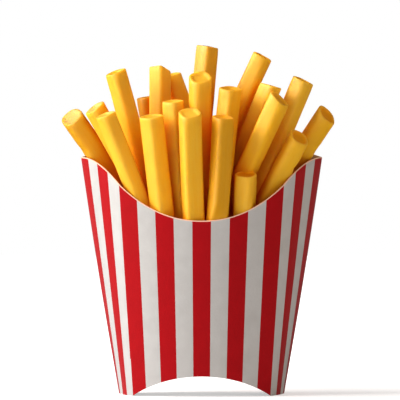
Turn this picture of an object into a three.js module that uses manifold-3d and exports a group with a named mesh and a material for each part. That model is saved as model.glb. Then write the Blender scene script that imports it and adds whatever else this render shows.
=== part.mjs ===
// Straight-cut french fries standing in a scoop-fronted paperboard carton.
// Millimetres, +Z up. The carton's scooped front faces -Y. The carton rests on the bottom edges
// of its two side panels, because its floor and its front and back panels arch up between them.
import * as THREE from 'three';
import { mergeVertices } from 'three/addons/utils/BufferGeometryUtils.js';
import Module from 'manifold-3d';

const wasm = await Module();
wasm.setup();

// ---------------------------------------------------------------- carton, driving dimensions
const BOARD = 0.5; // thickness of the paperboard
const CORNER_HEIGHT = 109; // top of the two back corners
const FOLD_HEIGHT = 96.2; // top of the two front folds
const SCOOP_HEIGHT = 79.8; // lowest point of the scooped front
const BACK_RISE = 9; // how far the back panel arches above its corners
const FLOOR_RISE = 9.3; // how far the floor arches up at its middle

const FRONT_HALF_BASE = 31.4; // half the width between the front folds, at the base
const FRONT_FLARE = 0.0638; // what that half width gains per millimetre of height
const BACK_HALF_BASE = 38.2; // half the width between the back edges, at the base
const BACK_FLARE = 0.1633;
const BACK_EDGE_BOW = 0.5; // the back edges are a little convex over their height
const HALF_DEPTH_BASE = 12; // half the distance from the front folds to the back edges
const DEPTH_FLARE = 0.03;
const PANEL_BULGE = 10; // how far the front and back panels bow out
const SIDE_BULGE = 1.3;

const SCOOP_POWER = 2.13; // shape of the scoop on the front panel
const SHOULDER_POWER = 2.2; // shape of its run-out on the side panels

const FRONT_STEPS = 20; // facets across the front and back panels
const SIDE_STEPS = 6; // facets across each side panel
const HEIGHT_STEPS = 6; // facets up a panel

// ---------------------------------------------------------------- fries, driving dimensions
const GAP = 0.4; // clearance between the heap and the board
const CORE_GAP = 1.2; // clearance round the packed lower part of the heap
const CORE_TOP = 72; // above this height the fries stand apart
const FOOT_HEIGHT = 62; // the fries' own shapes start here, inside the packed part
const CORNER_CUT = 0.28; // chamfer of a fry's long edges, as a part of its side
const RIM_ROUND = 0.9; // rounding of a fry's cut end
const END_DISH = 0.8; // how far the middle of a cut end sinks in

// Each fry: the middle of its tip, how far it leans to the right and how far towards the front
// (degrees), how far it is turned about its own length (degrees), its side, and how far its cut
// end faces to the right and to the front (degrees).
function fry(x, y, z, lean, forward, turn, side, cutRight, cutFront) {
  return { x, y, z, lean, forward, turn, side, cutRight, cutFront };
}
const FRONT_ROW = [
  fry(-43.8, -15, 128.1, -21.3, 5, 44, 7.9, 2, 8),
  fry(-22.5, -20, 127.2, -6.5, 6, 46, 9.6, 0, 7),
  fry(-5.3, -26, 128.7, -2, 10, 19, 9.3, 0, 17),
  fry(9.6, -24, 126.8, 3.5, 5, 40, 8.6, 1, 10),
  fry(20, -17, 101, 3, 4, 15, 9.1, 0, 13),
  fry(44.3, -12, 117.8, 28, 15, 20, 9.4, 7, 18),
];
const SECOND_ROW = [
  fry(-39.4, -3, 147.9, -15, 0, 39, 8.4, -5, 12),
  fry(-13.1, -8, 134.3, -4, 2, 52, 8.5, 0, 8),
  fry(-0.6, -10.5, 145.2, 0, 3, 24, 9.3, 0, 28),
  fry(13.1, -15, 140, 6, 2, 43, 8.8, -1, 12),
  fry(35.8, -20.5, 135, 25, 20, 60, 8.2, 17, 2),
  fry(46.7, 1, 144.2, 22.5, 0, -34, 8.8, 3, 8),
];
const THIRD_ROW = [
  fry(-60.1, 10.4, 127.6, -35.5, 5, 12, 9.8, 2, 28),
  fry(-49.2, 3, 131.7, -29, 4, 40, 8.5, -6, 12),
  fry(-19.2, 10, 149.7, 0, 0, 45, 8.5, 10, -18),
  fry(2.7, 1.5, 159.6, 5, 0, 42, 8.7, 4, -2),
  fry(27.9, 0, 155.3, 24, 4.5, -28, 8.4, 4, 4),
  fry(31.6, -8, 141.5, 22, 18, 56, 8.6, -6, -8),
  fry(57.7, 4, 128.4, 33, 14, 20, 9, 15, 17),
];
const BACK_ROW = [
  fry(-42, 17, 113, -27, 0, 20, 8.6, 0, 0),
  fry(-35.2, 15, 120, -16, 0, 10, 8.8, 3, 5),
  fry(-25.5, 17, 137, -9, 0, 18, 8.7, 0, 5),
  fry(-14.4, 20, 147.5, -21, -3, 15, 8.4, 8, 12),
  fry(17, 17.5, 131, 10, 0, 25, 8.7, 0, 0),
  fry(31, 14, 121, 16, 0, 5, 8.6, 0, 4),
  fry(37.1, 16, 114, 20, 0, 30, 8.4, 0, 0),
];
const LOW_FRIES = [
  fry(-38, -1.5, 94, -20, 0, 15, 8.6, 0, 6),
  fry(32, -10, 84, 14, 0, 40, 8.4, 0, 6),
];
const FRIES = [...FRONT_ROW, ...SECOND_ROW, ...THIRD_ROW, ...BACK_ROW, ...LOW_FRIES];

// ---------------------------------------------------------------- shared helpers
const lerp = THREE.MathUtils.lerp;
const radians = THREE.MathUtils.degToRad;

// Adds the two triangles of every cell of a grid of points, facing out or turned round.
function addGrid(triangles, rows, turned) {
  for (let r = 0; r + 1 < rows.length; r += 1) {
    for (let c = 0; c + 1 < rows[r].length; c += 1) {
      const [a, b] = [rows[r][c], rows[r][c + 1]];
      const [d, e] = [rows[r + 1][c], rows[r + 1][c + 1]];
      triangles.push(...(turned ? [a, d, b, b, d, e] : [a, b, d, b, e, d]));
    }
  }
}

// Merges loose triangles into one closed geometry.
function closedGeometry(triangles) {
  const loose = new THREE.BufferGeometry().setFromPoints(triangles);
  return mergeVertices(loose, 1e-4);
}

function toManifold(geometry) {
  const { position } = geometry.attributes;
  const mesh = new wasm.Mesh({
    numProp: 3,
    vertProperties: Float32Array.from(position.array),
    triVerts: Uint32Array.from(geometry.index.array),
  });
  mesh.merge();
  return new wasm.Manifold(mesh);
}

function toGeometry(solid) {
  const mesh = solid.getMesh();
  const geometry = new THREE.BufferGeometry();
  geometry.setAttribute('position', new THREE.BufferAttribute(mesh.vertProperties, 3));
  geometry.setIndex(new THREE.BufferAttribute(mesh.triVerts, 1));
  return geometry;
}

// ---------------------------------------------------------------- carton
// The carton's plan at one height: its front folds, its back edges and where they lie in depth.
function planAt(z) {
  const up = THREE.MathUtils.clamp(z / CORNER_HEIGHT, 0, 1);
  return {
    frontHalf: FRONT_HALF_BASE + FRONT_FLARE * z,
    backHalf: BACK_HALF_BASE + BACK_FLARE * z + BACK_EDGE_BOW * 4 * up * (1 - up),
    halfDepth: HALF_DEPTH_BASE + DEPTH_FLARE * z,
  };
}

// A point of a circular arc over a chord, for s from -1 to 1 along the arc.
function arcPoint(halfChord, s) {
  const radius = (halfChord ** 2 + PANEL_BULGE ** 2) / (2 * PANEL_BULGE);
  const halfAngle = 2 * Math.atan(PANEL_BULGE / halfChord);
  const out = radius * (Math.cos(halfAngle * s) - Math.cos(halfAngle));
  return [radius * Math.sin(halfAngle * s), out];
}

// A point of the right side panel, for s from 0 at the front fold to 1 at the back edge.
function sidePoint(plan, s) {
  const run = plan.backHalf - plan.frontHalf;
  const depth = 2 * plan.halfDepth;
  const length = Math.hypot(run, depth);
  const bow = SIDE_BULGE * 4 * s * (1 - s);
  const x = plan.frontHalf + run * s + (bow * depth) / length;
  const y = -plan.halfDepth + depth * s - (bow * run) / length;
  return [x, y];
}

// Stations run once round the carton: front panel, right side, back panel, left side.
// Each knows its plan point at any height, and the heights of its bottom and top edge.
function frontStation(s) {
  return {
    bottom: FLOOR_RISE * (1 - s * s),
    top: SCOOP_HEIGHT + (FOLD_HEIGHT - SCOOP_HEIGHT) * Math.abs(s) ** SCOOP_POWER,
    at(z) {
      const plan = planAt(z);
      const [x, out] = arcPoint(plan.frontHalf, s);
      return [x, -plan.halfDepth - out];
    },
  };
}

function sideStation(s, mirror) {
  return {
    bottom: 0,
    top: FOLD_HEIGHT + (CORNER_HEIGHT - FOLD_HEIGHT) * (1 - (1 - s) ** SHOULDER_POWER),
    at(z) {
      const [x, y] = sidePoint(planAt(z), s);
      return [mirror * x, y];
    },
  };
}

function backStation(s) {
  return {
    bottom: FLOOR_RISE * (1 - s * s),
    top: CORNER_HEIGHT + BACK_RISE * (1 - s * s),
    at(z) {
      const plan = planAt(z);
      const [x, out] = arcPoint(plan.backHalf, s);
      return [x, plan.halfDepth + out];
    },
  };
}

function roundTheCarton() {
  const stations = [];
  for (let i = 0; i < FRONT_STEPS; i += 1) {
    stations.push(frontStation(-1 + (2 * i) / FRONT_STEPS));
  }
  for (let i = 0; i < SIDE_STEPS; i += 1) {
    stations.push(sideStation(i / SIDE_STEPS, 1));
  }
  for (let i = 0; i < FRONT_STEPS; i += 1) {
    stations.push(backStation(1 - (2 * i) / FRONT_STEPS));
  }
  for (let i = 0; i < SIDE_STEPS; i += 1) {
    stations.push(sideStation(1 - i / SIDE_STEPS, -1));
  }
  return stations;
}
const STATIONS = roundTheCarton();

// Moves the points of a closed ring inwards in plan, with mitred corners.
function insetRing(ring, inset) {
  const count = ring.length;
  return ring.map((point, i) => {
    const before = ring[(i + count - 1) % count];
    const after = ring[(i + 1) % count];
    const into = new THREE.Vector2(before.y - point.y, point.x - before.x).normalize();
    const away = new THREE.Vector2(point.y - after.y, after.x - point.x).normalize();
    const normal = into.clone().add(away).normalize();
    const reach = inset / normal.dot(into);
    return new THREE.Vector3(point.x + normal.x * reach, point.y + normal.y * reach, point.z);
  });
}

// The rings of one wall surface from its bottom edge to its top edge, each closed on itself.
function wallRings(inset, bottomOf, topOf) {
  const rings = [];
  for (let j = 0; j <= HEIGHT_STEPS; j += 1) {
    const ring = STATIONS.map((station) => {
      const z = lerp(bottomOf(station), topOf(station), j / HEIGHT_STEPS);
      const [x, y] = station.at(z);
      return new THREE.Vector3(x, y, z);
    });
    const moved = insetRing(ring, inset);
    rings.push([...moved, moved[0]]);
  }
  return rings;
}

// A smooth patch spanned across a ring, from its front run to its back run.
function patchAcross(ring) {
  const last = ring.length - 1;
  const front = (i) => ring[i];
  const right = (w) => ring[FRONT_STEPS + w];
  const back = (i) => ring[2 * FRONT_STEPS + SIDE_STEPS - i];
  const left = (w) => ring[last - w];
  const rows = [];
  for (let w = 0; w <= SIDE_STEPS; w += 1) {
    const v = w / SIDE_STEPS;
    const row = [];
    for (let i = 0; i <= FRONT_STEPS; i += 1) {
      const u = i / FRONT_STEPS;
      const along = front(i).clone().lerp(back(i), v);
      const across = left(w).clone().lerp(right(w), u);
      const nearEdge = front(0).clone().lerp(front(FRONT_STEPS), u);
      const farEdge = back(0).clone().lerp(back(FRONT_STEPS), u);
      row.push(along.add(across).sub(nearEdge.lerp(farEdge, v)));
    }
    rows.push(row);
  }
  return rows;
}

// A cup that follows the carton: an outer skin, an inner skin and the rim between them.
function cupGeometry(outer, inner) {
  const triangles = [];
  addGrid(triangles, outer, false);
  addGrid(triangles, patchAcross(outer[0]), true);
  addGrid(triangles, inner, true);
  addGrid(triangles, patchAcross(inner[0]), false);
  addGrid(triangles, [outer.at(-1), inner.at(-1)], false);
  return closedGeometry(triangles);
}

// A plug that fills the carton up to a level top.
function plugGeometry(rings) {
  const triangles = [];
  addGrid(triangles, rings, false);
  addGrid(triangles, patchAcross(rings[0]), true);
  addGrid(triangles, patchAcross(rings.at(-1)), false);
  return closedGeometry(triangles);
}

function makeCarton() {
  const outer = wallRings(0, (s) => s.bottom, (s) => s.top);
  const inner = wallRings(BOARD, (s) => s.bottom + BOARD, (s) => s.top);
  const material = new THREE.MeshStandardMaterial({ color: 0xb3141e, roughness: 0.5, metalness: 0 });
  const mesh = new THREE.Mesh(cupGeometry(outer, inner), material);
  mesh.name = 'carton';
  return mesh;
}

// ---------------------------------------------------------------- fries
// One ring of a fry's section: a square with its long edges cut off.
function sectionRing(side, height) {
  const half = side / 2;
  const cut = half - side * CORNER_CUT;
  const corners = [
    [half, -cut], [half, cut], [cut, half], [-cut, half],
    [-half, cut], [-half, -cut], [-cut, -half], [cut, -half],
  ];
  const ring = corners.map(([x, y]) => new THREE.Vector3(x, y, height));
  return [...ring, ring[0]];
}

// A fry with its tip at the origin and its length along -Z, its cut end rounded and dished.
function fryGeometry(side, length) {
  const foot = sectionRing(side, -length);
  const neck = sectionRing(side, -RIM_ROUND);
  const rim = sectionRing(side - 2 * RIM_ROUND, 0);
  const point = (z) => foot.map(() => new THREE.Vector3(0, 0, z));
  const triangles = [];
  addGrid(triangles, [point(-length), foot, neck, rim, point(-END_DISH)], false);
  const whole = [];
  for (let i = 0; i < triangles.length; i += 3) {
    const corner = triangles.slice(i, i + 3);
    const flat = corner.some((p, n) => p.distanceTo(corner[(n + 1) % 3]) < 1e-6);
    if (!flat) whole.push(...corner);
  }
  return closedGeometry(whole);
}

// Slants the cut end of an upright fry, so that it faces to the right and to the front.
function slantTip(geometry, cutRight, cutFront) {
  const { position } = geometry.attributes;
  for (let i = 0; i < position.count; i += 1) {
    const [x, y, z] = [position.getX(i), position.getY(i), position.getZ(i)];
    if (z > -RIM_ROUND - 0.1) {
      const rise = y * Math.tan(radians(cutFront)) - x * Math.tan(radians(cutRight));
      position.setZ(i, z + rise);
    }
  }
}

function placedFry({ x, y, z, lean, forward, turn, side, cutRight, cutFront }) {
  const axis = new THREE.Vector3(Math.tan(radians(lean)), -Math.tan(radians(forward)), 1);
  const length = (z - FOOT_HEIGHT) * axis.length();
  const geometry = fryGeometry(side, length).rotateZ(radians(turn));
  slantTip(geometry, cutRight, cutFront);
  const upright = new THREE.Vector3(0, 0, 1);
  const tilt = new THREE.Quaternion().setFromUnitVectors(upright, axis.normalize());
  return geometry.applyQuaternion(tilt).translate(x, y, z);
}

// Everything that the heap must keep clear of: the board, with its clearance, and beyond.
function boardJacket() {
  const beyond = 25;
  const outer = wallRings(-beyond, () => -beyond, (s) => s.top + GAP);
  const inner = wallRings(BOARD + GAP, (s) => s.bottom + BOARD + GAP, (s) => s.top + GAP);
  return toManifold(cupGeometry(outer, inner));
}

function makeFries() {
  const inset = BOARD + CORE_GAP;
  const core = toManifold(plugGeometry(wallRings(inset, (s) => s.bottom + inset, () => CORE_TOP)));
  const sticks = FRIES.map((item) => toManifold(placedFry(item)));
  const heap = wasm.Manifold.union([core, ...sticks]).subtract(boardJacket()).simplify(0.02);
  const pieces = heap.decompose().sort((a, b) => b.volume() - a.volume());
  const material = new THREE.MeshStandardMaterial({ color: 0xe5a81e, roughness: 0.6, metalness: 0 });
  const mesh = new THREE.Mesh(toGeometry(pieces[0]), material);
  mesh.name = 'fries';
  return mesh;
}

// ---------------------------------------------------------------- the whole, on its own origin
const group = new THREE.Group();
group.add(makeCarton(), makeFries());
const middle = new THREE.Box3().setFromObject(group).getCenter(new THREE.Vector3());
group.position.set(-middle.x, -middle.y, 0);
group.updateMatrixWorld(true);

export default group;
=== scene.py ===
# %% [markdown]
# # French fries in a scoop-fronted carton
# A striped paperboard carton stands on the bottom edges of its side panels, and straight-cut fries
# fan out over its rim. This lesson folds the carton from a flat blank, shapes one fry by hand,
# copies it into a heap, and finishes both with procedural materials.

# %% Load the frame
import math
import random
from collections import namedtuple

import bpy
import numpy as np
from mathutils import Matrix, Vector, noise


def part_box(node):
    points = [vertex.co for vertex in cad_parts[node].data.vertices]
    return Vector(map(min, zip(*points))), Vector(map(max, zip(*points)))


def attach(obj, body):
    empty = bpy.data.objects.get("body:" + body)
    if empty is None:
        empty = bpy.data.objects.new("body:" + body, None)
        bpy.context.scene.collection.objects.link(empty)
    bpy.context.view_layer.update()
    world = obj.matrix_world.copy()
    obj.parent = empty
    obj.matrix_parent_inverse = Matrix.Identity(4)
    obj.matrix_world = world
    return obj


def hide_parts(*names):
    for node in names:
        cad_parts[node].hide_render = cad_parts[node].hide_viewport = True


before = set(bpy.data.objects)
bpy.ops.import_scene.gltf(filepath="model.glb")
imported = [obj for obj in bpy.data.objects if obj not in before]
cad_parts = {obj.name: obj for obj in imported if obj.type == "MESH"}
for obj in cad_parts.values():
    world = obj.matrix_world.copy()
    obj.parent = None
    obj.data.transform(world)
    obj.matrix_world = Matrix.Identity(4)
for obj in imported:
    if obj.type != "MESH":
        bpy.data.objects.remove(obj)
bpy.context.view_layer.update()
carton_low, carton_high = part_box("carton")
MM = 0.001

# %% [markdown]
# ## Sizes
# The carton is described by its plan at any height: two front folds, two back edges, and panels
# that bow out between them. Everything is in millimetres round the middle of the carton, and the
# frame says where that middle is.

# %% The carton's sizes, in millimetres
BOARD = 0.5
CORNER_HEIGHT = 109
FOLD_HEIGHT = 96.2
SCOOP_HEIGHT = 79.8
BACK_RISE = 9
FLOOR_RISE = 9.3
FRONT_HALF_BASE, FRONT_FLARE = 31.4, 0.0638
BACK_HALF_BASE, BACK_FLARE, BACK_EDGE_BOW = 38.2, 0.1633, 0.5
HALF_DEPTH_BASE, DEPTH_FLARE = 12, 0.03
PANEL_BULGE = 10
SIDE_BULGE = 1.3
SCOOP_POWER, SHOULDER_POWER = 2.13, 2.2
FRONT_STRIPES, SIDE_STRIPES, BACK_STRIPES = 9, 4, 11


def half_depth(z):
    return HALF_DEPTH_BASE + DEPTH_FLARE * z


# The back panel's middle is the carton's farthest point, so it gives the carton's place in depth.
back_reach = half_depth(CORNER_HEIGHT + BACK_RISE) + PANEL_BULGE
ORIGIN = Vector(
    ((carton_low.x + carton_high.x) / 2, carton_high.y - back_reach * MM, carton_low.z)
)
print("the carton's middle is at", [round(v / MM, 2) for v in ORIGIN], "mm")

# %% [markdown]
# ## Camera
# The camera stands level with the middle of the fries, far off with a long lens, so that the
# carton's sides hardly converge.

# %% Place the camera
CAMERA_DISTANCE = 1600  # to the carton's front folds
CAMERA_HEIGHT = 89.2
CAMERA_ASIDE = -0.75
VIEW_SIZE = 181.82  # millimetres across the view, at the front folds

camera_data = bpy.data.cameras.new("camera")
camera = bpy.data.objects.new("camera", camera_data)
bpy.context.scene.collection.objects.link(camera)
fold_depth = half_depth(CAMERA_HEIGHT)
camera.location = ORIGIN + MM * Vector((CAMERA_ASIDE, -fold_depth - CAMERA_DISTANCE, CAMERA_HEIGHT))
camera.rotation_euler = (math.pi / 2, 0, 0)
camera_data.lens = camera_data.sensor_width * CAMERA_DISTANCE / VIEW_SIZE
camera_data.clip_start, camera_data.clip_end = 0.1, 50
bpy.context.scene.camera = camera
print("the lens is", round(camera_data.lens), "mm")

# %% [markdown]
# ## Nodes
# The light, the floor and every finish are made of nodes. In the window they are added and wired by
# hand. Here a few short calls do the same, so that a finish reads from top to bottom.


# %% Helpers for nodes
class Nodes:
    """The node tree of a new world or material, with short calls for adding and linking."""

    def __init__(self, owner):
        self.owner = owner
        self.owner.use_nodes = True
        self.tree = owner.node_tree
        self.shader = self.tree.nodes.get("Principled BSDF")

    def add(self, kind, **settings):
        node = self.tree.nodes.new("ShaderNode" + kind)
        for key, value in settings.items():
            setattr(node, key, value)
        return node

    def feed(self, socket, value):
        if isinstance(value, bpy.types.NodeSocket):
            self.tree.links.new(value, socket)
        else:
            socket.default_value = value

    def math(self, operation, first, second=0.0, third=0.0):
        node = self.add("Math", operation=operation)
        for socket, value in zip(node.inputs, (first, second, third)):
            self.feed(socket, value)
        return node.outputs[0]

    def mix(self, factor, first, second, blend="MIX"):
        node = self.add("Mix", data_type="RGBA", blend_type=blend)
        self.feed(node.inputs["Factor"], factor)
        self.feed(node.inputs["A"], first)
        self.feed(node.inputs["B"], second)
        return node.outputs["Result"]

    def remap(self, value, low, high, new_low, new_high):
        node = self.add("MapRange")
        for socket, number in zip(node.inputs, (value, low, high, new_low, new_high)):
            self.feed(socket, number)
        return node.outputs["Result"]

    def noise(self, vector, scale, detail=2.0, roughness=0.5):
        node = self.add("TexNoise")
        self.feed(node.inputs["Vector"], vector)
        node.inputs["Scale"].default_value = scale
        node.inputs["Detail"].default_value = detail
        node.inputs["Roughness"].default_value = roughness
        return node.outputs["Fac"]

    def bump(self, height, distance):
        node = self.add("Bump")
        node.inputs["Strength"].default_value = 1.0
        node.inputs["Distance"].default_value = distance
        self.feed(node.inputs["Height"], height)
        self.tree.links.new(node.outputs["Normal"], self.shader.inputs["Normal"])


def rgba(red, green, blue):
    return (red, green, blue, 1.0)


WHITE = rgba(1.0, 1.0, 1.0)
print("the helpers add", [call for call in vars(Nodes) if not call.startswith("_")])

# %% [markdown]
# ## Light
# A big soft lamp stands to the left, a little in front of the carton. The surroundings give an
# even fill, so the right side stays readable. The background is white, as in a product picture.

# %% Light the surroundings
FILL = 0.76
OVERHEAD_FILL = 0.2
FRONT_FILL = 1.2  # times the fill from the back
REFLECTED_FILL = 0.01
WARM_FILL = rgba(1.02, 0.80, 0.65)

scene = bpy.context.scene
scene.view_settings.view_transform = "Standard"
scene.view_settings.look = "None"
scene.world = bpy.data.worlds.new("white studio")
sky = Nodes(scene.world)
sky.tree.nodes.clear()
direction = sky.add("SeparateXYZ")
sky.feed(direction.inputs[0], sky.add("TexCoord").outputs["Generated"])
# The fill comes from all round the horizon, and little of it from overhead.
strength = sky.remap(direction.outputs["Z"], 0.1, 0.9, FILL, OVERHEAD_FILL)
# The front is a little brighter than the back, and what comes from the right is warmer.
front_share = sky.remap(direction.outputs["Y"], -1.0, 0.0, FRONT_FILL, 1.0)
strength = sky.math("MULTIPLY", strength, front_share)
tint = sky.mix(sky.remap(direction.outputs["X"], -0.2, 0.9, 0.0, 1.0), WHITE, WARM_FILL)
# Shiny surfaces see a darker room, so that their colours stay deep.
light_path = sky.add("LightPath")
is_reflection = light_path.outputs["Is Glossy Ray"]
reflected_share = sky.remap(is_reflection, 0.0, 1.0, 1.0, REFLECTED_FILL / FILL)
strength = sky.math("MULTIPLY", strength, reflected_share)
fill_light = sky.add("Background")
sky.feed(fill_light.inputs["Color"], tint)
sky.feed(fill_light.inputs["Strength"], strength)
# Seen directly, the surroundings are plain white.
seen_white = sky.add("Background")
sky.feed(seen_white.inputs["Color"], WHITE)
pick = sky.add("MixShader")
sky.feed(pick.inputs["Fac"], light_path.outputs["Is Camera Ray"])
sky.feed(pick.inputs[1], fill_light.outputs["Background"])
sky.feed(pick.inputs[2], seen_white.outputs["Background"])
sky.feed(sky.add("OutputWorld").inputs["Surface"], pick.outputs["Shader"])
print("the surroundings have", len(sky.tree.nodes), "nodes")

# %% Set up the soft lamp
KEY_AZIMUTH = math.radians(-78)  # from the front, towards the left
KEY_HEIGHT = math.radians(31)
KEY_DISTANCE = 1.1
KEY_SIZE = 0.7
KEY_POWER = 17.2
KEY_COLOUR = (1.0, 0.95, 0.92)
KEY_AIM = ORIGIN + MM * Vector((0, 0, 90))

key_data = bpy.data.lights.new("key lamp", "AREA")
key_data.shape = "SQUARE"
key_data.size = KEY_SIZE
key_data.energy = KEY_POWER
key_data.color = KEY_COLOUR
key_lamp = bpy.data.objects.new("key lamp", key_data)
scene.collection.objects.link(key_lamp)
level = math.cos(KEY_HEIGHT) * KEY_DISTANCE
rise = math.sin(KEY_HEIGHT) * KEY_DISTANCE
away = Vector((math.sin(KEY_AZIMUTH) * level, -math.cos(KEY_AZIMUTH) * level, rise))
key_lamp.location = KEY_AIM + away
key_lamp.rotation_euler = away.to_track_quat("Z", "Y").to_euler()
print("the lamp stands at", [round(v, 2) for v in key_lamp.location], "m")

# %% [markdown]
# The floor is a wide white sheet that takes the carton's shadow. Seen directly, it glows a little
# near the carton and fades to pure white further out, so it has no edge.

# %% Lay the floor
FLOOR_SIZE = 8
FLOOR_GLOW = 0.45
GLOW_START, GLOW_END = 0.08, 0.30  # metres from the middle


def floor_paper():
    n = Nodes(bpy.data.materials.new("studio white"))
    n.shader.inputs["Base Color"].default_value = rgba(0.8, 0.8, 0.8)
    n.shader.inputs["Roughness"].default_value = 0.9
    n.shader.inputs["Specular IOR Level"].default_value = 0.0
    n.shader.inputs["Emission Color"].default_value = WHITE
    reach = n.add("VectorMath", operation="LENGTH")
    n.feed(reach.inputs[0], n.add("TexCoord").outputs["Object"])
    fade = n.remap(reach.outputs["Value"], GLOW_START, GLOW_END, FLOOR_GLOW, 1.0)
    seen = n.add("LightPath").outputs["Is Camera Ray"]
    n.feed(n.shader.inputs["Emission Strength"], n.math("MULTIPLY", fade, seen))
    return n.owner


bpy.ops.object.select_all(action="DESELECT")
bpy.ops.mesh.primitive_plane_add(size=FLOOR_SIZE, location=(0, 0, 0))
floor = bpy.context.object
floor.name = "studio_floor"
floor.data.materials.append(floor_paper())
floor.visible_glossy = False
print("the floor is", FLOOR_SIZE, "m wide")

# %% [markdown]
# ## Folding rules
# Each panel is a bent sheet. These rules give a point of the board from two numbers: how far
# round the carton it is, and how high.


# %% Where a point of the board lies
def plan_at(z):
    """The carton's plan at a height: half the front width, half the back width, half the depth."""
    up = min(max(z / CORNER_HEIGHT, 0), 1)
    front_half = FRONT_HALF_BASE + FRONT_FLARE * z
    back_half = BACK_HALF_BASE + BACK_FLARE * z + BACK_EDGE_BOW * 4 * up * (1 - up)
    return front_half, back_half, half_depth(z)


def arc_point(half_chord, s):
    """A point of a bowed panel, for s from -1 to 1 along its arc."""
    radius = (half_chord**2 + PANEL_BULGE**2) / (2 * PANEL_BULGE)
    half_angle = 2 * math.atan(PANEL_BULGE / half_chord)
    out = radius * (math.cos(half_angle * s) - math.cos(half_angle))
    return radius * math.sin(half_angle * s), out


def side_point(z, s):
    """A point of the right side panel, for s from 0 at the front fold to 1 at the back edge."""
    front_half, back_half, deep = plan_at(z)
    run = back_half - front_half
    length = math.hypot(run, 2 * deep)
    bow = SIDE_BULGE * 4 * s * (1 - s)
    return front_half + run * s + bow * 2 * deep / length, -deep + 2 * deep * s - bow * run / length


def panel_point(panel, s, z):
    """A point of any panel, for its own s and a height."""
    if panel == "front":
        x, out = arc_point(plan_at(z)[0], s)
        return x, -half_depth(z) - out
    if panel == "back":
        x, out = arc_point(plan_at(z)[1], s)
        return x, half_depth(z) + out
    x, y = side_point(z, s)
    return (x, y) if panel == "right" else (-x, y)


def scoop_top(s):
    """The height of the front panel's edge, for s from -1 to 1 between its folds."""
    return SCOOP_HEIGHT + (FOLD_HEIGHT - SCOOP_HEIGHT) * abs(s) ** SCOOP_POWER


def shoulder_top(s):
    """The height of a side panel's edge, for s from 0 at the front fold to 1 at the back edge."""
    return FOLD_HEIGHT + (CORNER_HEIGHT - FOLD_HEIGHT) * (1 - (1 - s) ** SHOULDER_POWER)


def panel_edges(panel, s):
    """The heights of a panel's bottom and top edge."""
    if panel == "front":
        return FLOOR_RISE * (1 - s * s), scoop_top(s)
    if panel == "back":
        return FLOOR_RISE * (1 - s * s), CORNER_HEIGHT + BACK_RISE * (1 - s * s)
    return 0, shoulder_top(s)


print("the front's edge rises from", scoop_top(0), "to", scoop_top(1), "mm")

# %% [markdown]
# The blank's columns run once round the carton. Each column knows its panel, its place along the
# panel and where it falls among the printed stripes.

# %% The columns of the blank
BOWED_COLUMNS = 36
SIDE_COLUMNS = 12


def blank_columns():
    """The panel, the place along it and the count of stripes for every column of the blank."""
    runs = [
        ("front", BOWED_COLUMNS, lambda t: -1 + 2 * t, FRONT_STRIPES),
        ("right", SIDE_COLUMNS, lambda t: t, SIDE_STRIPES),
        ("back", BOWED_COLUMNS, lambda t: 1 - 2 * t, BACK_STRIPES),
        ("left", SIDE_COLUMNS, lambda t: 1 - t, SIDE_STRIPES),
    ]
    columns, stripe = [], 0
    for panel, count, place, stripes in runs:
        for i in range(count):
            t = i / count
            columns.append((panel, place(t), stripe + stripes * t))
        stripe += stripes
    return columns + [("left", 0.0, stripe)]


COLUMNS = blank_columns()
AROUND = len(COLUMNS) - 1  # the last column meets the first
print("the blank has", AROUND, "columns and", COLUMNS[-1][2], "stripes")


def wall_point(column, up):
    """The point of a column at a part of its height, and how far below the top edge it is."""
    panel, s, _ = COLUMNS[column]
    bottom, top = panel_edges(panel, s)
    z = bottom + (top - bottom) * up
    x, y = panel_point(panel, s, z)
    return Vector((x, y, z)), top - z


# %% [markdown]
# ## Printed board
# The carton has a printed outside, a bare inside and pale cut edges, tinted warm orange with
# painted bounce light from the fries. The stripes follow the board's own UV map: its first number
# counts the stripes, and its second is the distance from the cut edge in millimetres. So they
# need no picture, and they bend with the board.

# %% Printed board, bare board and cut edges
PRINT_RED = rgba(0.43, 0.0012, 0.005)
PRINT_WHITE = rgba(0.55, 0.548, 0.535)
BARE_BOARD = rgba(0.45, 0.30, 0.18)
# The cut edge is pale board; its warm orange tint is painted bounce light from the fries.
CUT_EDGE_AND_BOUNCE = rgba(0.98, 0.62, 0.44)
INK_SHADE, FIBRE_SHADE = rgba(0.25, 0.2, 0.18), rgba(0.6, 0.5, 0.4)
UNPRINTED_EDGE = 0.45  # millimetres


def printed_board():
    n = Nodes(bpy.data.materials.new("printed board"))
    place = n.add("TexCoord").outputs["Object"]
    print_place = n.add("SeparateXYZ")
    n.feed(print_place.inputs[0], n.add("UVMap", uv_map="print").outputs["UV"])
    # Every other stripe is red.
    pair_share = n.math("FRACT", n.math("MULTIPLY", print_place.outputs["X"], 0.5))
    ink = n.mix(n.math("LESS_THAN", pair_share, 0.5), PRINT_WHITE, PRINT_RED)
    mottle = n.noise(place, 160, 3)
    ink = n.mix(n.remap(mottle, 0.3, 0.7, 0.0, 0.10), ink, INK_SHADE, "MULTIPLY")
    is_printed = n.math("GREATER_THAN", print_place.outputs["Y"], UNPRINTED_EDGE)
    # The unprinted band along the rim takes the cut edge's colour, painted bounce light included.
    n.feed(n.shader.inputs["Base Color"], n.mix(is_printed, CUT_EDGE_AND_BOUNCE, ink))
    n.shader.inputs["Roughness"].default_value = 0.5
    n.shader.inputs["Specular IOR Level"].default_value = 0.1
    n.shader.inputs["Sheen Weight"].default_value = 0.19
    n.shader.inputs["Sheen Roughness"].default_value = 0.35
    n.bump(n.noise(place, 900, 2), 0.06 * MM)
    return n.owner


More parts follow.
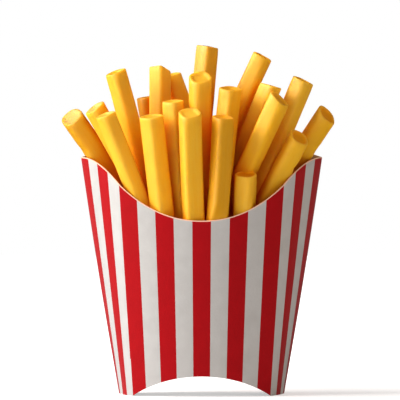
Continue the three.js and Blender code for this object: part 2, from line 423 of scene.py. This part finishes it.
def plain_board(name, colour):
    n = Nodes(bpy.data.materials.new(name))
    fibres = n.noise(n.add("TexCoord").outputs["Object"], 700, 4, 0.6)
    shade = n.mix(n.remap(fibres, 0.3, 0.7, 0.0, 0.18), colour, FIBRE_SHADE, "MULTIPLY")
    n.feed(n.shader.inputs["Base Color"], shade)
    n.shader.inputs["Roughness"].default_value = 0.75
    n.shader.inputs["Specular IOR Level"].default_value = 0.3
    n.bump(fibres, 0.1 * MM)
    return n.owner


board_materials = [
    printed_board(),
    plain_board("bare board", BARE_BOARD),
    # The cut edge's finish carries painted bounce light from the fries.
    plain_board("cut board edge and bounce light", CUT_EDGE_AND_BOUNCE),
]
print("the board's finishes are", [material.name for material in board_materials])

# %% [markdown]
# ## The carton
# A real carton is punched flat, printed and folded. The same is done here: a grid is the blank,
# every point of it is folded to its place, and the last column meets the first.

# %% Fold the wall
WALL_ROWS = 40


def new_grid(name, columns, rows):
    """A flat grid, one unit wide, with a UV map for the print."""
    bpy.ops.object.select_all(action="DESELECT")
    bpy.ops.mesh.primitive_grid_add(x_subdivisions=columns, y_subdivisions=rows, size=1)
    grid = bpy.context.object
    grid.name = name
    grid.data.name = name
    grid.data.uv_layers[0].name = "print"
    return grid


def grid_places(grid, columns, rows):
    """The column and row of every point of a fresh grid."""
    for vertex in grid.data.vertices:
        yield round((vertex.co.x + 0.5) * columns), round((vertex.co.y + 0.5) * rows)


def fold(grid, columns, rows, rule):
    """Moves every point of a flat grid by a rule that gives its place and its UV."""
    spots = [rule(c, r) for c, r in grid_places(grid, columns, rows)]
    uv = grid.data.uv_layers["print"].data
    for loop in grid.data.loops:
        uv[loop.index].uv = spots[loop.vertex_index][1]
    for vertex, (point, _) in zip(grid.data.vertices, spots):
        vertex.co = ORIGIN + point * MM


def wall_rule(column, row):
    point, below_edge = wall_point(column, row / WALL_ROWS)
    return point, (COLUMNS[column][2], below_edge)


carton = new_grid("folded_carton", AROUND, WALL_ROWS)
fold(carton, AROUND, WALL_ROWS, wall_rule)
print("the wall has", len(carton.data.polygons), "faces")

# %% [markdown]
# The floor hangs on the curved crease at the foot of the front panel, so it arches like it.
# It is a second grid, spanned between the bottom edges of the four panels.

# %% Fold the floor
FLOOR_UV = (1.5, 50.0)  # in a white stripe, far from any edge


def span(edge, column, row):
    """A point of the sheet that spans a closed edge, given as a point for each of the columns."""
    u, v = column / BOWED_COLUMNS, row / SIDE_COLUMNS
    front, back = edge(column), edge(AROUND - SIDE_COLUMNS - column)
    left, right = edge(AROUND - row), edge(BOWED_COLUMNS + row)
    near = edge(0).lerp(edge(BOWED_COLUMNS), u)
    far = edge(AROUND - SIDE_COLUMNS).lerp(edge(BOWED_COLUMNS + SIDE_COLUMNS), u)
    return front.lerp(back, v) + left.lerp(right, u) - near.lerp(far, v)


def bottom_edge(index):
    return wall_point(index % AROUND, 0)[0]


def floor_rule(column, row):
    return span(bottom_edge, column, row), FLOOR_UV


floor_panel = new_grid("carton_floor", BOWED_COLUMNS, SIDE_COLUMNS)
fold(floor_panel, BOWED_COLUMNS, SIDE_COLUMNS, floor_rule)
floor_panel.data.flip_normals()
print("the floor has", len(floor_panel.data.polygons), "faces")

# %% [markdown]
# On a real carton the panels are one board. Here the wall and the floor are joined, and the points
# that lie on each other along the foot and at the closing corner are merged into one.

# %% Close the carton
WELD = 0.02


def join(parts):
    """Joins parts into the first of them."""
    bpy.ops.object.select_all(action="DESELECT")
    for part in parts:
        part.select_set(True)
    bpy.context.view_layer.objects.active = parts[0]
    bpy.ops.object.join()


def weld(piece):
    """Merges the points of a piece that lie on each other. The piece is the active one."""
    bpy.ops.object.mode_set(mode="EDIT")
    bpy.ops.mesh.select_all(action="SELECT")
    bpy.ops.mesh.remove_doubles(threshold=WELD * MM)
    bpy.ops.object.mode_set(mode="OBJECT")
    print(piece.name, "has", len(piece.data.vertices), "points")


join([carton, floor_panel])
weld(carton)
for material in board_materials:
    carton.data.materials.append(material)

# %% [markdown]
# Board doesn't fold to a knife edge, so the upright creases are bevelled before the board gets its
# thickness. The foot stays crisp, because it is where the blank is creased right through.

# %% Crease the board and give it its thickness
CREASE_WIDTH = 0.5
CREASE_ANGLE = math.radians(16)  # two columns of a bowed panel meet at less


def is_upright(edge):
    low, high = (carton.data.vertices[i].co for i in edge.vertices)
    return abs(high.z - low.z) > 0.9 * (high - low).length


bpy.ops.object.mode_set(mode="EDIT")
bpy.context.tool_settings.mesh_select_mode = (False, True, False)
bpy.ops.mesh.select_all(action="DESELECT")
bpy.ops.mesh.edges_select_sharp(sharpness=CREASE_ANGLE)
bpy.ops.object.mode_set(mode="OBJECT")
for edge in carton.data.edges:
    edge.select = edge.select and is_upright(edge)
bpy.ops.object.mode_set(mode="EDIT")
bpy.ops.mesh.bevel(offset=CREASE_WIDTH * MM, segments=3, affect="EDGES", clamp_overlap=True)
bpy.ops.object.mode_set(mode="OBJECT")
board = carton.modifiers.new("board", "SOLIDIFY")
board.thickness = BOARD * MM
board.offset = -1  # the blank is the printed outside, so the board grows inwards
board.use_even_offset = True
board.material_offset = 1
board.material_offset_rim = 2
bpy.ops.object.modifier_apply(modifier=board.name)
print("the board has", len(carton.data.polygons), "faces")

# %% [markdown]
# The die presses the cut edge a little round, which is why it shows as a pale line along the rim.

# %% Round the cut edge
RIM_ROUNDING = 0.12
CUT_EDGE_SLOT = 2

bpy.ops.object.mode_set(mode="EDIT")
bpy.context.tool_settings.mesh_select_mode = (False, False, True)
bpy.ops.mesh.select_all(action="DESELECT")
carton.active_material_index = CUT_EDGE_SLOT
bpy.ops.object.material_slot_select()
bpy.ops.mesh.region_to_loop()
bpy.ops.mesh.bevel(
    offset=RIM_ROUNDING * MM, segments=2, affect="EDGES", material=CUT_EDGE_SLOT
)
bpy.ops.object.mode_set(mode="OBJECT")
bpy.ops.object.shade_smooth_by_angle(angle=math.radians(35))
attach(carton, "root")
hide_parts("carton")
print("the carton has", len(carton.data.polygons), "faces")

# %% [markdown]
# ## One fry
# A straight-cut fry is a stick of potato. Frying rounds its long edges, sinks its faces a little
# and dries the cut end into a shallow dish inside a raised rim. It could be a bent curve with a
# square bevel, but a block that is bevelled and inset by hand has that rim and dish where they
# belong. One master is shaped, hanging from its tip at the origin.

# %% Shape the master fry
FRY_SIDE = 8.6
FRY_LENGTH = 90
CORNER_RADIUS = 2.4
RINGS = 34
# Each inset of the tip: how far in, and how far up. The first ones round the rim, the rest dish it.
TIP_INSETS = [
    (0.10, 0.28),
    (0.16, 0.16),
    (0.3, 0.06),
    (0.4, -0.12),
    (0.4, -0.4),
    (0.4, -0.3),
    (0.35, -0.1),
]
RIM_RISE = sum(rise for _, rise in TIP_INSETS if rise > 0)


def select_only(mesh, kind, wanted):
    """Selects the edges or faces that a test accepts, and nothing else."""
    bpy.ops.object.mode_set(mode="EDIT")
    bpy.context.tool_settings.mesh_select_mode = (False, kind == "edges", kind == "polygons")
    bpy.ops.mesh.select_all(action="DESELECT")
    bpy.ops.object.mode_set(mode="OBJECT")
    for item in getattr(mesh, kind):
        item.select = wanted(item)
    bpy.ops.object.mode_set(mode="EDIT")


def is_long_edge(edge):
    first, second = (master_fry.data.vertices[i].co for i in edge.vertices)
    return abs(first.z - second.z) > FRY_LENGTH * MM / 2


def is_side(face):
    return abs(face.normal.z) < 0.5


def is_tip(face):
    return face.normal.z > 0.5


def slice_sides(place, normal):
    """Cuts the long sides along a plane, so that they have points that can be moved."""
    select_only(master_fry.data, "polygons", is_side)
    bpy.ops.mesh.bisect(plane_co=place * MM, plane_no=normal)
    bpy.ops.object.mode_set(mode="OBJECT")


bpy.ops.object.select_all(action="DESELECT")
bpy.ops.mesh.primitive_cube_add(
    size=FRY_SIDE * MM, location=(0, 0, -(FRY_LENGTH + RIM_RISE) / 2 * MM)
)
master_fry = bpy.context.object
master_fry.name = "master_fry"
bpy.ops.transform.resize(value=(1, 1, (FRY_LENGTH - RIM_RISE) / FRY_SIDE))
bpy.ops.object.transform_apply(location=True, rotation=True, scale=True)
select_only(master_fry.data, "edges", is_long_edge)
bpy.ops.mesh.bevel(offset=CORNER_RADIUS * MM, segments=6, affect="EDGES")
bpy.ops.object.mode_set(mode="OBJECT")
ASIDE = 0.25 * (FRY_SIDE - 2 * CORNER_RADIUS)
for across in (Vector((1, 0, 0)), Vector((0, 1, 0))):
    slice_sides(across * -ASIDE, across)
    slice_sides(across * ASIDE, across)
select_only(master_fry.data, "polygons", is_tip)
for inward, rise in TIP_INSETS:
    bpy.ops.mesh.inset(thickness=inward * MM, depth=rise * MM)
bpy.ops.mesh.poke()
bpy.ops.object.mode_set(mode="OBJECT")
UPWARDS = Vector((0, 0, 1))
for ring in range(1, RINGS):
    height = RIM_RISE + (FRY_LENGTH - RIM_RISE) * ring / RINGS
    slice_sides(-height * UPWARDS, UPWARDS)
print("the master fry has", len(master_fry.data.polygons), "faces")

# %% [markdown]
# ## The heap
# Each fry has its own place: the middle of its tip, how far it leans to the right and towards
# the front, how far it is turned about its own length, and its side. The last numbers are its
# looks: how round its section is, how far its cut end faces to the right and to the front, how
# crisp that end is, and how deep a gold the whole fry is. A crispness below 0 is a pale, floury
# end, and a tone past 1 is a fry that stayed in the oil too long. Both also paint light and
# shade: the crispness paints a highlight on cut ends that face the lamp and shade on ends turned
# away from it, and the tone is set paler for some lit fries and browner for some shaded ones.

# %% Where the fries stand, in millimetres and degrees round the carton's middle
Fry = namedtuple("Fry", "x y z lean forward turn side roundness cut_right cut_front crisp tone")
FRONT_ROW = [
    Fry(-43.8, -15, 128.1, -21.3, 5, 37, 7.9, 0.6, 2, 8, -0.4, 0.0),
    Fry(-22.8, -20, 127.2, -6.5, 6, 42, 9.2, 0.5, 0, 7, 0.1, 0.3),
    Fry(-5.3, -26, 128.7, -2, 10, 19, 9.3, 0.45, 0, 17, 0.0, 0.3),
    Fry(9.6, -22.6, 126.8, 3.5, 3, 33, 8.6, 0.45, 1, 10, 0.3, 1.4),
    Fry(20, -17, 101, 1.5, 4, -22, 9.1, 0.55, 0, 13, 1.0, 0.0),
    Fry(44.6, -12, 117.8, 28, 15, 20, 8.8, 0.75, 7, 18, 1.0, 0.0),
]
SECOND_ROW = [
    Fry(-39.4, -3, 147.9, -15, 0, 39, 8.4, 0.45, -5, 12, 0.1, 1.0),
    Fry(-13.1, -11, 134.3, -4, 2, 52, 8.5, 0.45, 0, 8, 0.2, -0.4),
    Fry(-0.6, -10.5, 145.2, 0, 3, 24, 9.3, 0.6, 0, 28, 0.1, 0.8),
    Fry(13.1, -13.8, 140, 6, 2, 50, 8.8, 0.4, -1, 12, 0.2, 1.1),
    Fry(35.4, -20.5, 135, 25, 20, 60, 8.8, 0.6, 17, 2, 0.6, 0.5),
    Fry(46.7, 1, 144.2, 22.5, 0, -31, 8.8, 0.5, 3, 8, 0.7, -0.4),
]
THIRD_ROW = [
    Fry(-60.1, 10.4, 127.6, -35.5, 5, 12, 9.8, 0.7, 2, 28, -0.8, 1.4),
    Fry(-49.2, 3, 131.7, -29, 4, 40, 8.5, 0.5, -6, 12, -0.8, 0.3),
    Fry(-19.2, 10, 149.7, 0, 0, 50, 8.5, 0.15, 10, -18, 0.2, -0.3),
    Fry(2.7, 1.5, 159.6, 5, 0, 48, 8.7, 0.5, 4, -2, 0.4, 1.3),
    Fry(27.9, 0, 155.3, 24, 4.5, -18, 8.4, 0.6, 4, 4, 0.8, 0.9),
    Fry(31.6, -8, 141.5, 22, 12, 56, 8.6, 0.5, -6, -8, 0.7, -0.4),
    Fry(57.7, 4, 128.4, 33, 14, 20, 9, 0.95, 15, 17, 1.0, 0.3),
]
BACK_ROW = [
    Fry(-42, 14, 113, -27, 0, 20, 8.6, 0.5, 0, 0, 0.3, 0.5),
    Fry(-35.2, 15, 120, -16, 0, 10, 8.8, 0.4, 3, 5, 0.2, 0.5),
    Fry(-25.5, 17, 137, -9, 0, 18, 8.7, 0.4, 0, 5, 0.2, 1.9),
    Fry(-14.4, 20, 147.5, -21, -3, 15, 8.4, 0.4, 8, 12, 0.3, 0.4),
    Fry(17, 17.5, 131, 10, 0, 25, 8.7, 0.5, 0, 0, 0.3, 0.5),
    Fry(31, 14, 121, 16, 0, 5, 8.6, 0.4, 0, 4, 0.5, 0.5),
    Fry(37.1, 16, 114, 20, 0, 30, 8.4, 0.7, 0, 0, 0.2, 0.5),
]
LOW_FRIES = [
    Fry(-38, -1.5, 94, -20, 0, 15, 8.6, 0.5, 0, 6, 0.5, 0.5),
    Fry(32, -10, 84, 14, 0, 40, 8.4, 0.5, 0, 6, 0.5, 0.5),
]
FRIES = FRONT_ROW + SECOND_ROW + THIRD_ROW + BACK_ROW + LOW_FRIES
FOOT_HEIGHT = 62  # where the fries go down into the packed core
print("the heap has", len(FRIES), "fries")

# %% [markdown]
# No two fries are alike. Each copy of the master gets its own section, from nearly square to
# nearly round, its own taper, twist, bow and lumps, and its own slanting cut. Moving every point
# by hand would take days, so the points are measured once and moved by rule.

# %% Measure the master fry
DISH_START, DISH_BLEND = 0.88, 0.14  # the dish starts here on the way in from the skin

master_places = np.empty(len(master_fry.data.vertices) * 3)
master_fry.data.vertices.foreach_get("co", master_places)
master_places = master_places.reshape(-1, 3) / MM
DOWN = -master_places[:, 2]
ANGLE = np.arctan2(master_places[:, 1], master_places[:, 0])
FROM_AXIS = np.hypot(master_places[:, 0], master_places[:, 1])
at_foot = np.abs(DOWN - FRY_LENGTH) < 0.01
skin = np.interp(ANGLE, ANGLE[at_foot], FROM_AXIS[at_foot], period=2 * math.pi)
PART = FROM_AXIS / skin  # how far out each point is: 0 on the axis and 1 on the skin
FACE = 0.5 + 0.5 * np.cos(4 * ANGLE)  # 1 at the middle of a face and 0 at a corner
DISH = np.clip((DISH_START - PART) / DISH_BLEND, 0, 1)  # 1 in the dish of the cut end
print("the master fry has", len(PART), "points,", np.count_nonzero(DISH), "of them in its dish")

# %% The outline of a section
SQUARE_POWER, ROUND_POWER = 9.0, 2.3


def section_radius(angle, power):
    """The outline of a rounded square with a half side of 1: a low power is rounder."""
    return (np.abs(np.cos(angle)) ** power + np.abs(np.sin(angle)) ** power) ** (-1 / power)


def section_power(roundness):
    return SQUARE_POWER * (ROUND_POWER / SQUARE_POWER) ** roundness


def seen_half_width(roundness, turn):
    """How far a turned section reaches to the side, for one roundness or an array of them."""
    grid = np.linspace(0, 1, 21)
    angle = np.linspace(0, 2 * math.pi, 361)
    reach = [np.max(section_radius(angle, section_power(g)) * np.cos(angle + turn)) for g in grid]
    return np.interp(roundness, grid, reach)


wider = seen_half_width(0, math.radians(45))
print("a square fry that is turned by 45 degrees looks", round(float(wider), 2), "times as wide")

# %% Give a copy its own section
SEED = 27
TIP_ROUNDING, TIP_WEAR = 0.5, 4.0  # the tip is rounder than the stick, over about 4 mm
SUNK_FACES, OVAL, SKEW = 0.02, 0.02, 0.02  # at most, as parts of half the side
BEVELLED_SHARE = 0.28  # how much of the side each corner of the frame's fries takes


def fry_section(row, chance):
    """The outline of this fry's own section at every point, for a half width of 1 as it is seen."""
    tip_rounding = TIP_ROUNDING * (row.cut_front > 0) * np.exp(-DOWN / TIP_WEAR)
    worn = np.minimum(row.roundness + tip_rounding, 1)
    half_width = seen_half_width(worn, math.radians(row.turn))
    outline = section_radius(ANGLE, section_power(worn)) / half_width
    outline *= 1 - chance.uniform(0.0, SUNK_FACES) * FACE * (1 - row.roundness)
    outline *= 1 + chance.uniform(-OVAL, OVAL) * np.cos(2 * ANGLE)
    outline *= 1 + chance.uniform(-SKEW, SKEW) * np.cos(ANGLE + chance.uniform(0, 6))
    return outline


def seen_width(row):
    """How wide the frame's fry looks at its turn, so that the copy is as wide."""
    turn = math.radians(row.turn)
    flat = (1 - 2 * BEVELLED_SHARE) * (abs(math.cos(turn)) + abs(math.sin(turn)))
    return row.side * (flat + 2 * BEVELLED_SHARE)


print("the first fry looks", round(seen_width(FRIES[0]), 1), "mm wide")

# %% Give a copy its own length, twist, bow, lumps and cut
SHOWN_LENGTH = 60  # a twist or taper is measured over this length
UNCHANGED = 0.2  # where along it the fry keeps its turn and side
TWIST = 7  # degrees at most
TAPER, TIP_TAPER, TIP_TAPER_LENGTH = 0.03, 0.03, 4
BOW_ASIDE, BOW_FORWARD = 0.3, 0.4
BROAD_LUMPS, BROAD_SPACING = 0.14, 16
FINE_LUMPS, FINE_SPACING = 0.03, 3.2
CUT_LUMPS, CUT_SPACING = 0.08, 2.5
CUT_DEPTH = 9  # how far down the slant of the cut is felt


def fry_axis(row):
    """The way up along a fry, as far as it rises by 1."""
    return Vector((math.tan(math.radians(row.lean)), -math.tan(math.radians(row.forward)), 1))


def lumps(places, spacing, shift):
    """Smooth random heights at some places."""
    offset = Vector((shift, 7 * shift, 0))
    return np.array([noise.noise(Vector(place) / spacing + offset) for place in places])


def shape_fry(row, chance):
    """A hanging fry's points, with its tip at the origin, and where they are on the bare stick."""
    outline = fry_section(row, chance)
    length = (row.z - FOOT_HEIGHT) * fry_axis(row).length
    # The rim keeps its height, and what hangs below it is stretched or shortened.
    stretch = (length - RIM_RISE) / (FRY_LENGTH - RIM_RISE)
    along = np.minimum(DOWN, RIM_RISE) + np.maximum(DOWN - RIM_RISE, 0) * stretch
    way = along / SHOWN_LENGTH
    twist = math.radians(chance.uniform(-TWIST, TWIST)) * (way - UNCHANGED)
    angle = ANGLE + math.radians(row.turn) + twist
    size = seen_width(row) / 2 * (1 + chance.uniform(-TAPER, TAPER) * (way - UNCHANGED))
    tip = np.maximum(1 - along / TIP_TAPER_LENGTH, 0) ** 2
    size *= 1 - chance.uniform(0.0, TIP_TAPER) * tip
    x = PART * outline * size * np.cos(angle)
    y = PART * outline * size * np.sin(angle)
    places = np.column_stack((x, y, -along))
    shift = chance.uniform(0, 50)
    swell = BROAD_LUMPS * lumps(places, BROAD_SPACING, shift)
    swell += FINE_LUMPS * lumps(places, FINE_SPACING, shift + 9)
    places[:, 0] += swell * np.cos(angle) * np.minimum(PART, 1)
    places[:, 1] += swell * np.sin(angle) * np.minimum(PART, 1)
    bow = np.sin(np.clip(way, 0, 1) * math.pi)
    places[:, 0] += chance.uniform(-BOW_ASIDE, BOW_ASIDE) * bow
    places[:, 1] += chance.uniform(-BOW_FORWARD, BOW_FORWARD) * bow
    slant = x * math.tan(math.radians(-row.cut_right)) + y * math.tan(math.radians(row.cut_front))
    near_tip = np.exp(-along / CUT_DEPTH)
    places[:, 2] += near_tip * slant
    places[:, 2] += near_tip * CUT_LUMPS * lumps(places, CUT_SPACING, shift + 20)
    return places, np.column_stack((x, y, along))


print("the first fry shows", round((FRIES[0].z - FOOT_HEIGHT) * fry_axis(FRIES[0]).length), "mm")

# %% [markdown]
# The board holds the heap together. Where a fry would reach through a panel, it gives way: it is
# pressed back to the board's inside, and the push fades out above the board's edge.

# %% Press a fry against the inside of the board
PRESS_GAP = BOARD + 0.35
PRESS_FADE = 7
PRESS_ROUNDS = 2


def ways_out(x, y, z):
    """How far inside each panel's outer face the points are, and the way out through it."""
    front_half = FRONT_HALF_BASE + FRONT_FLARE * z
    back_half = BACK_HALF_BASE + BACK_FLARE * z
    deep = half_depth(z)
    for half, way in ((front_half, -1), (back_half, 1)):
        radius = (half**2 + PANEL_BULGE**2) / (2 * PANEL_BULGE)
        centre = way * (deep + PANEL_BULGE - radius)
        reach = np.hypot(x, y - centre)
        yield radius - reach, x / reach, (y - centre) / reach
    run = back_half - front_half
    slant = np.hypot(run, 2 * deep)
    bow = SIDE_BULGE * (1 - (y / deep) ** 2)
    for way in (-1, 1):
        inside = bow - ((way * x - front_half) * 2 * deep - (y + deep) * run) / slant
        yield inside, way * 2 * deep / slant, -run / slant


def board_top(x, y, z):
    """The height of the board's edge nearest to each point."""
    deep = half_depth(z)
    across = np.clip(np.abs(x) / (FRONT_HALF_BASE + FRONT_FLARE * z), 0, 1)
    backwards = np.clip((y + deep) / (2 * deep), 0, 1)
    return np.where(y < -deep, scoop_top(across), shoulder_top(backwards))


def press_inside(places):
    """Presses points in carton millimetres back inside the panels, and returns the deepest push."""
    deepest = 0
    x, y, z = places.T  # changing x and y in place moves the points
    hold = np.clip(1 - (z - board_top(x, y, z)) / PRESS_FADE, 0, 1) ** 2
    for _ in range(PRESS_ROUNDS):
        for inside, out_x, out_y in ways_out(x, y, z):
            push = np.maximum(PRESS_GAP - inside, 0) * hold
            x -= push * out_x
            y -= push * out_y
            deepest = max(deepest, push.max())
    return deepest


pressed = np.array([[0.0, -40.0, 50.0]])
press_inside(pressed)
print("a point in front of the front panel goes back to y", round(float(pressed[0, 1]), 1), "mm")

# %% [markdown]
# The lower ends of the fries can't be seen, so a packed core takes their place. It is made like
# the carton, from grids that follow the plan, a little inside the board.

# %% Pack the core
CORE_INSET = BOARD + 1.2
CORE_TOP = 68
CORE_ROWS = 8
CORE_LUMPS, CORE_SPACING = 2.5, 5


def core_point(index, up):
    """A point of the core's side, for a column and a part of the core's height."""
    panel, s, _ = COLUMNS[index % AROUND]
    bottom = panel_edges(panel, s)[0] + CORE_INSET
    z = bottom + (CORE_TOP - bottom) * up
    x, y = panel_point(panel, s, z)
    narrower = 1 - CORE_INSET / plan_at(z)[0]
    shallower = 1 - CORE_INSET / (half_depth(z) + PANEL_BULGE)
    return Vector((x * narrower, y * shallower, z))


def core_wall(column, row):
    return core_point(column, row / CORE_ROWS), (0, 0)


def core_bottom(column, row):
    return span(lambda index: core_point(index, 0), column, row), (0, 0)


def core_top(column, row):
    point = span(lambda index: core_point(index, 1), column, row)
    if column % BOWED_COLUMNS and row % SIDE_COLUMNS:  # the edge stays where the side ends
        point.z += CORE_LUMPS * noise.noise(point / CORE_SPACING)
    return point, (0, 0)


core_parts = []
for rule, columns, rows in (
    (core_wall, AROUND, CORE_ROWS),
    (core_bottom, BOWED_COLUMNS, SIDE_COLUMNS),
    (core_top, BOWED_COLUMNS, SIDE_COLUMNS),
):
    part = new_grid("packed_core", columns, rows)
    fold(part, columns, rows, rule)
    core_parts.append(part)
core_parts[1].data.flip_normals()
join(core_parts)
core = core_parts[0]
weld(core)
bpy.ops.object.mode_set(mode="EDIT")
bpy.ops.mesh.select_all(action="SELECT")
bpy.ops.mesh.normals_make_consistent(inside=False)
bpy.ops.object.mode_set(mode="OBJECT")

# %% [markdown]
# Now every fry is a copy of the master with a mesh of its own, tilted and stood in its place. It
# also carries the numbers that its finish will read, one for each point: where its corners and
# its cut end are, how it is fried and what light and shade are painted onto it, and where each
# point was on the straight stick. They are stored as attributes, so one material serves all the
# fries.

# %% Stand every fry in its place
FAR_APART = 900  # so that no two fries share their streaks
CORNER_LOSS = 0.6  # how much of its browned corners the roundest fry loses


def give(mesh, name, numbers):
    """Stores a number for every point of a mesh."""
    attribute = mesh.attributes.new(name, "FLOAT", "POINT")
    attribute.data.foreach_set("value", np.asarray(numbers, dtype=np.float32))


def stand_fry(index, row):
    """A finished copy of the master, and how far the board had to press it in."""
    chance = random.Random(SEED + index)
    fry = master_fry.copy()
    fry.data = master_fry.data.copy()
    scene.collection.objects.link(fry)
    places, stick = shape_fry(row, chance)
    tilt = np.array(UPWARDS.rotation_difference(fry_axis(row).normalized()).to_matrix())
    places = places @ tilt.T + np.array((row.x, row.y, row.z))
    push = press_inside(places)
    fry.data.vertices.foreach_set("co", (places * MM + np.array(ORIGIN)).ravel())
    give(fry.data, "corner", (1 - FACE) * (1 - CORNER_LOSS * row.roundness) * (1 - DISH))
    # The tone is how deep a gold the fry is, and it also paints light onto some whole fries and
    # shade onto others.
    give(fry.data, "tone", np.full(len(DISH), row.tone))
    # The browned end is crust and also painted shade on ends turned from the lamp; below 0 it is a
    # floury end and a painted highlight on ends facing it.
    give(fry.data, "browned_and_shaded_end", row.crisp * DISH)
    give(fry.data, "cut_end", DISH)
    stick += chance.uniform(0, FAR_APART)
    attribute = fry.data.attributes.new("stick", "FLOAT_VECTOR", "POINT")
    attribute.data.foreach_set("vector", stick.astype(np.float32).ravel())
    return fry, push


heap_parts = [core]
for index, row in enumerate(FRIES):
    fry, push = stand_fry(index, row)
    heap_parts.append(fry)
    if push > 1.0:
        print(f"fry {index} at x {row.x:.0f} is pressed in by {push:.1f} mm")
bpy.data.objects.remove(master_fry)
join(heap_parts)
heap = heap_parts[0]
heap.name = "fry_heap"
heap.data.name = "fry_heap"
bpy.ops.object.shade_smooth_by_angle(angle=math.radians(40))
print("the heap has", len(heap.data.polygons), "faces")

# %% [markdown]
# ## Fried potato
# The crust is golden, paler on the broad faces and deeper along the edges and at the dried tip.
# Shade is painted into the gaps between the fries and onto cut ends turned away from the lamp,
# and a pale highlight is painted onto cut ends that face it. Some whole fries are painted paler
# where the lamp falls on them and others browner where they lie in shade.
# Light goes some millimetres into the potato, and red goes furthest, so a shaded side glows
# orange. A thin film of oil gives a soft shine. A picture of fries would repeat on every fry, so
# the colour is built from noise and from the numbers that each fry carries.

# %% The colour of the crust
PALE, GOLDEN = rgba(0.98, 0.54, 0.028), rgba(0.98, 0.46, 0.002)
# Of the two colours below, the first browns the crust and is also painted shade on cut ends turned
# away from the lamp.
# Of the two colours below, the second is painted shade for the gaps between the fries.
TOASTED_AND_SHADE, PAINTED_GAP_SHADE = rgba(0.85, 0.30, 0.002), rgba(0.72, 0.05, 0.001)
# Of the two colours below, the first browns over-fried fries and is also painted shade on whole
# fries that lie in shade.
# Of the two colours below, the second is a floury end and also a painted highlight on cut ends that
# face the lamp.
OVER_FRIED_AND_SHADE, FLOURY_AND_HIGHLIGHT = rgba(0.46, 0.20, 0.003), rgba(0.85, 0.48, 0.11)
ALONG_FIBRES = 0.07  # places along the stick count for so little that the streaks are long


def carried(n, name, output="Fac"):
    """One of the numbers that every fry carries."""
    return n.add("Attribute", attribute_name=name).outputs[output]


def potato_fibres(n):
    """Long streaks that run with the potato's fibres."""
    stretch = n.add("VectorMath", operation="MULTIPLY")
    n.feed(stretch.inputs[0], carried(n, "stick", "Vector"))
    n.feed(stretch.inputs[1], (1.0, 1.0, ALONG_FIBRES))
    streaks = n.noise(stretch.outputs["Vector"], 0.75, 3, 0.6)
    # On a cut end the fibres are seen end on, and hardly show.
    strength = n.remap(carried(n, "cut_end"), 0.0, 1.0, 1.0, 0.1)
    return n.math("MULTIPLY_ADD", n.math("SUBTRACT", streaks, 0.5), strength, 0.5)


def crust_colour(n, place, streaks, openness):
    """The crust's colour with painted gap shade: openness is 0 in a closed gap and 1 in the open.
    """
    tone, browned_and_shaded_end = carried(n, "tone"), carried(n, "browned_and_shaded_end")
    patches = n.remap(n.noise(place, 90, 3, 0.5), 0.3, 0.7, 0.0, 0.3)
    # Painted light and shade: the tone makes some whole fries paler where the lamp falls on them
    # and others browner where they lie in shade, as well as setting how deep a gold they are.
    mixed = n.math("MULTIPLY_ADD", tone, 0.45, patches)
    mixed = n.math("ADD", mixed, n.remap(streaks, 0.35, 0.7, -0.1, 0.3))
    colour = n.mix(mixed, PALE, GOLDEN)
    colour = n.mix(n.remap(tone, 1.0, 2.0, 0.0, 1.0), colour, OVER_FRIED_AND_SHADE)
    spots = n.remap(n.noise(place, 260, 3), 0.5, 0.75, 0.0, 0.25)
    colour = n.mix(n.math("MULTIPLY", spots, carried(n, "corner")), colour, TOASTED_AND_SHADE)
    # Painted shade and highlight on cut ends: the browned end darkens ends turned from the lamp and
    # pales ends facing it, as well as showing how crisp they are.
    colour = n.mix(n.remap(browned_and_shaded_end, 0.0, 1.0, 0.0, 0.8), colour, TOASTED_AND_SHADE)
    colour = n.mix(n.remap(browned_and_shaded_end, 0.0, -1.0, 0.0, 1.0), colour, FLOURY_AND_HIGHLIGHT)
    # Painted shade: where neighbours close in, the crust turns a deep red-brown.
    return n.mix(n.remap(openness, -0.05, 0.54, 1.0, 0.0), colour, PAINTED_GAP_SHADE)


# The darkest colour printed here is painted gap shade, not crust.
print("the crust runs from", PALE[:3], "to", PAINTED_GAP_SHADE[:3])

# %% The fried potato's material
GAP_REACH = 30  # millimetres over which neighbours paint shade into a gap
SCATTER = 2.4  # how far red light goes into the potato, in millimetres
SCATTER_BY_COLOUR = (1.0, 0.85, 0.05)
OIL_TINT = rgba(1.0, 0.88, 0.6)
SKIN_GRAIN = 0.12  # millimetres


def fried_potato():
    n = Nodes(bpy.data.materials.new("fried potato"))
    place = n.add("TexCoord").outputs["Object"]
    streaks = potato_fibres(n)
    surroundings = n.add("AmbientOcclusion", samples=8, only_local=False)
    surroundings.inputs["Distance"].default_value = GAP_REACH * MM
    openness = surroundings.outputs["AO"]
    n.feed(n.shader.inputs["Base Color"], crust_colour(n, place, streaks, openness))
    n.feed(n.shader.inputs["Roughness"], n.remap(streaks, 0.3, 0.7, 0.52, 0.68))
    # The shine is lost between the fries and on the browned ends, whose browning is partly painted
    # shade.
    shine = n.remap(openness, 0.35, 0.85, 0.0, 1.0)
    dulled = n.remap(carried(n, "browned_and_shaded_end"), 0.0, 1.0, 1.0, 0.1)
    n.feed(n.shader.inputs["Specular IOR Level"], n.math("MULTIPLY", shine, dulled))
    n.shader.inputs["Specular Tint"].default_value = OIL_TINT
    n.shader.inputs["IOR"].default_value = 1.7
    n.shader.subsurface_method = "BURLEY"
    n.shader.inputs["Subsurface Weight"].default_value = 1.0
    n.shader.inputs["Subsurface Radius"].default_value = SCATTER_BY_COLOUR
    n.shader.inputs["Subsurface Scale"].default_value = SCATTER * MM
    grain = n.math("MULTIPLY_ADD", n.noise(place, 1500, 2), 0.3, n.noise(place, 420, 3))
    n.bump(n.math("MULTIPLY_ADD", streaks, 0.8, grain), SKIN_GRAIN * MM)
    return n.owner


heap.data.materials.append(fried_potato())
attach(heap, "root")
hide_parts("fries")
print("the heap's finish is", heap.data.materials[0].name)

# %% [markdown]
# ## Finish
